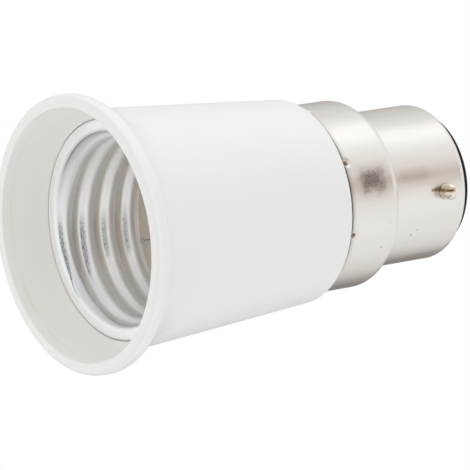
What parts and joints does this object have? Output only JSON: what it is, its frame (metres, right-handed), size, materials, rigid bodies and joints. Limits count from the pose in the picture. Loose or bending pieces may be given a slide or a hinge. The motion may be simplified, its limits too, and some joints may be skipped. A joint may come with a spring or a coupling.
{
  "type": "lamp socket adapter",
  "caption": "Lamp socket adapter with a plated bayonet cap at one end and a flared white mouth with a metal screw shell for a lamp at the other.",
  "frame": {"origin": "centre of the mouth's rim, on the plane that the rim stands on", "axes": "+Z along the adapter's axis from the mouth to the bayonet cap, +X along the bayonet pins"},
  "size_m": [0.038, 0.038, 0.0624],
  "materials": {
    "white_plastic": "smooth moulded",
    "shell_metal": "rolled, bright",
    "contact_metal": "bright copper alloy",
    "plated_metal": "bright nickel plate on brass",
    "pin_metal": "bright",
    "black_plastic": "smooth moulded",
    "tag_metal": "bright",
    "solder": "bright",
    "wire_brown": "soft insulation",
    "wire_blue": "soft insulation"
  },
  "bodies": {
    "adapter": {"housing": "white_plastic", "screw_shell": "shell_metal", "rivets": "pin_metal", "contact_tag": "tag_metal", "shell_tag": "tag_metal", "contact_wire": "wire_brown", "shell_wire": "wire_blue", "contact_tag_solder": "solder", "shell_tag_solder": "solder", "bayonet_cap": "plated_metal", "bayonet_pin_front": "pin_metal", "bayonet_pin_back": "pin_metal", "cap_insulator": "black_plastic", "end_contact_front": "tag_metal", "end_contact_back": "tag_metal", "end_solder_front": "solder", "end_solder_back": "solder"},
    "contact": {"centre_contact": "contact_metal"}
  },
  "joints": [
    {"name": "contact_flex", "type": "hinge", "parent": "adapter", "child": "contact", "pos_m": [0, -0.0022, 0.0258], "axis": [1, 0, 0], "range_deg": [0, 18], "stiffness_Nm_per_rad": 0.1, "deforming": ["centre_contact"]}
  ]
}
